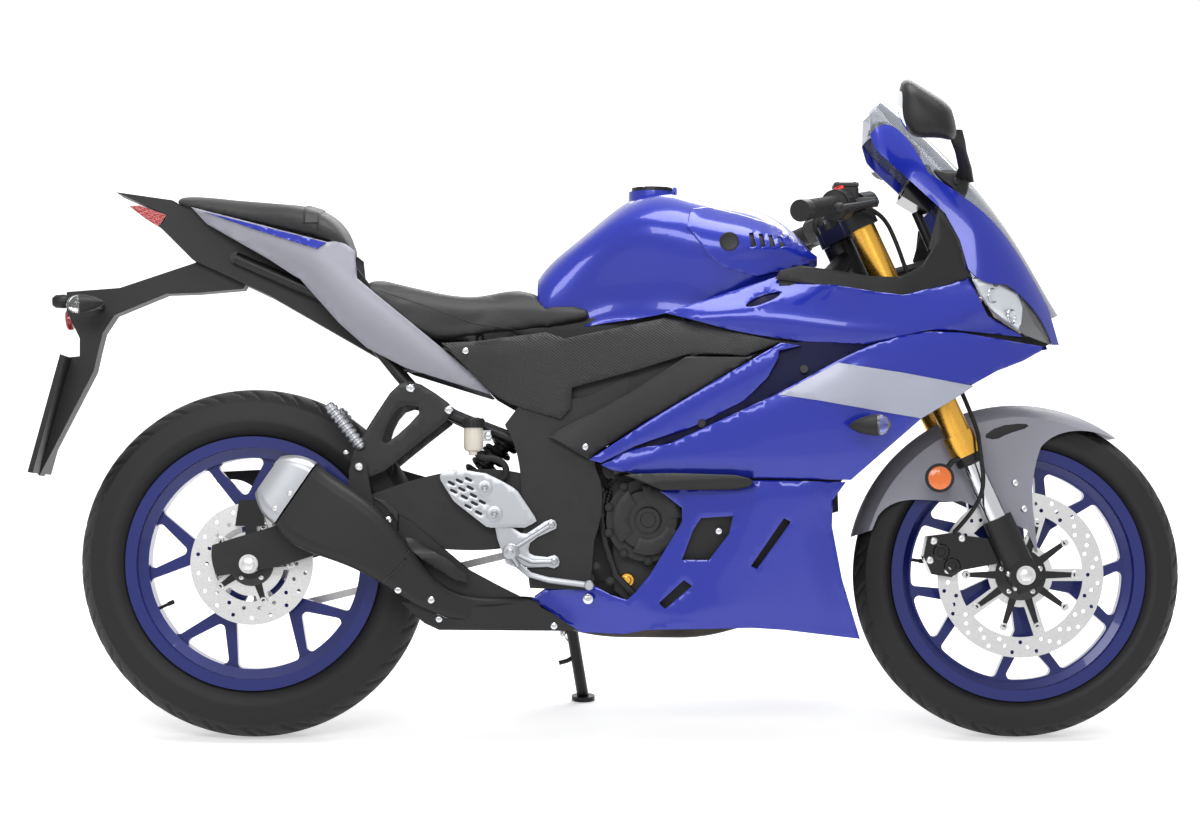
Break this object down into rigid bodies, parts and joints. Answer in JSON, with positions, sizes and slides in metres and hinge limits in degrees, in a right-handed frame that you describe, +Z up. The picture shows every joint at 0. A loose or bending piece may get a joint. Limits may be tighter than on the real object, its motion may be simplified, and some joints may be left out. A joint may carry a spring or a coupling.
{
  "type": "sport motorcycle",
  "caption": "Faired sport bike with forked-spoke wheels, turning steering, folding side stand and opening fuel lid, parked leaning on its stand.",
  "frame": {"origin": "middle of the whole bike's base, on the ground", "axes": "+X towards the front wheel, +Y to the rider's left, the side it leans to, +Z up"},
  "size_m": [2.0732, 0.7486, 1.2022],
  "materials": {
    "body_paint": "deep blue metallic paint, glossy",
    "wheel_paint": "dark blue metallic paint, satin",
    "grey_paint": "matt grey paint on moulded panels",
    "black_plastic": "fine-grained black moulding",
    "gloss_black": "gloss black moulding",
    "frame_paint": "satin black paint on steel",
    "gold_anodised": "gold anodised aluminium tubes",
    "chrome": "hard chrome, polished",
    "cast_alloy": "cast aluminium, silver",
    "dark_alloy": "aluminium, black anodised",
    "engine_metal": "dark grey painted castings",
    "steel": "ground steel",
    "tyre": "black road tyre",
    "rubber": "black rubber",
    "seat_cover": "black grained seat cover on foam",
    "red_lens": "red lamp lens",
    "clear_lens": "clear lens",
    "smoked_screen": "lightly tinted screen",
    "fluid_cup": "milky plastic cup under a black cap"
  },
  "bodies": {
    "chassis": {"chain": "steel", "chain_guard": "black_plastic", "swingarm": "frame_paint", "rear_axle": "steel", "main_frame": "frame_paint", "engine": "engine_metal", "exhaust_header": "steel", "muffler": "black_plastic", "muffler_end_cap": "cast_alloy", "exhaust_guard": "black_plastic", "radiator": "dark_alloy", "fuel_tank": "body_paint", "rider_seat": "seat_cover", "pillion_seat": "seat_cover", "tail_panels": "grey_paint", "tail_core": "black_plastic", "tail_lamp": "red_lens", "plate_holder": "black_plastic", "subframe": "frame_paint", "side_covers": "black_plastic", "upper_fairing": "body_paint", "side_fairing": "body_paint", "lower_fairing": "body_paint", "nose_cowl": "body_paint", "windscreen": "smoked_screen", "headlamps": "clear_lens", "inner_fairing": "black_plastic", "instrument_panel": "gloss_black", "mirrors": "black_plastic", "indicators": "clear_lens", "foot_rests": "cast_alloy", "foot_levers": "cast_alloy", "rear_brake_line": "fluid_cup", "rear_caliper": "gloss_black", "rear_shock": "dark_alloy"},
    "steering": {"fork_tubes": "gold_anodised", "fork_stanchions": "chrome", "fork_feet": "dark_alloy", "front_axle": "steel", "yokes": "cast_alloy", "handlebars": "dark_alloy", "grips": "rubber", "bar_controls": "black_plastic", "front_brake_hose": "rubber", "front_mudguard": "grey_paint", "front_caliper": "gloss_black"},
    "front_wheel": {"front_tyre": "tyre", "front_rim": "wheel_paint", "front_disc": "steel"},
    "rear_wheel": {"rear_tyre": "tyre", "rear_rim": "wheel_paint", "rear_disc": "steel", "rear_sprocket": "steel"},
    "side_stand": {"side_stand": "frame_paint"},
    "fuel_cap": {"fuel_cap": "cast_alloy"}
  },
  "joints": [
    {"name": "steer", "type": "hinge", "parent": "chassis", "child": "steering", "pos_m": [0.41841, -0.0148, 0.88453], "axis": [-0.4226, 0.1574, 0.8925], "range_deg": [-34, 34]},
    {"name": "front_wheel_spin", "type": "hinge", "parent": "steering", "child": "front_wheel", "pos_m": [0.74159, -0.1193, 0.29187], "axis": [0, 0.9848, -0.1736], "continuous": true},
    {"name": "rear_wheel_spin", "type": "hinge", "parent": "chassis", "child": "rear_wheel", "pos_m": [-0.63841, -0.11583, 0.31157], "axis": [0, 0.9848, -0.1736], "continuous": true},
    {"name": "stand_fold", "type": "hinge", "parent": "chassis", "child": "side_stand", "pos_m": [-0.07735, 0.02994, 0.23415], "axis": [-0.0806, 0.9325, 0.3521], "range_deg": [0, 95]},
    {"name": "fuel_cap_lid", "type": "hinge", "parent": "chassis", "child": "fuel_cap", "pos_m": [0.12259, 0.00194, 0.97947], "axis": [0, 0.9848, -0.1736], "range_deg": [0, 95]}
  ]
}
